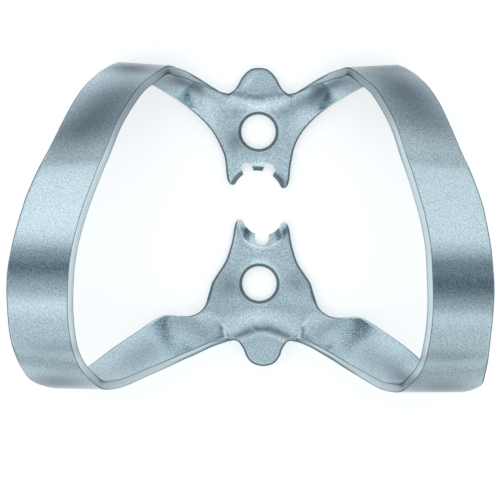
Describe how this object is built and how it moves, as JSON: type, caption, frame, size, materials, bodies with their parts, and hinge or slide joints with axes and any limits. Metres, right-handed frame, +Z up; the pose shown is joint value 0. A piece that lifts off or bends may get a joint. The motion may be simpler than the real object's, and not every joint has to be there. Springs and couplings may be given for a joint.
{
  "type": "rubber dam clamp",
  "caption": "Two-bowed dental dam clamp bent from spring steel sheet, with facing pronged jaws, forceps holes and small end tabs.",
  "frame": {"origin": "centre of the object's box on the flat it lies on, level with the undersides of the jaws", "axes": "+X across the clamp towards the right bow, +Y from the back jaw towards the front jaw, +Z up towards the crowns of the bows"},
  "size_m": [0.0364, 0.0245, 0.0121],
  "materials": {
    "spring_steel": "satin, finely grained, with polished broken edges"
  },
  "bodies": {
    "root": {"clamp": "spring_steel"}
  },
  "joints": []
}
